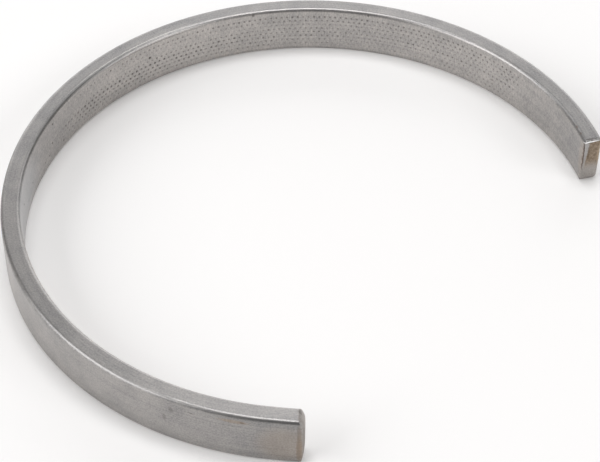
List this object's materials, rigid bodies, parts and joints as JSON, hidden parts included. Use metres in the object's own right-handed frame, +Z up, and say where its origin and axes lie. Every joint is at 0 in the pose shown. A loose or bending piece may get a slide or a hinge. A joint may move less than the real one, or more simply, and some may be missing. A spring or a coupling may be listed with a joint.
{
  "type": "locating ring",
  "caption": "Open flat-section steel ring that takes up the space beside a bearing in a split housing and fixes the bearing's place along the shaft.",
  "frame": {"origin": "on the ring's axis, at its lower face", "axes": "+Z up the ring's axis; the opening is centred on -Y, with the squarer end on its +X side and the swelled end on its -X side"},
  "size_m": [0.14, 0.1126, 0.0125],
  "materials": {
    "mill_steel": "matt mill finish, with rolled pin marks on the inside and a little rust on the cropped ends"
  },
  "bodies": {
    "root": {"locating_ring": "mill_steel"}
  },
  "joints": []
}
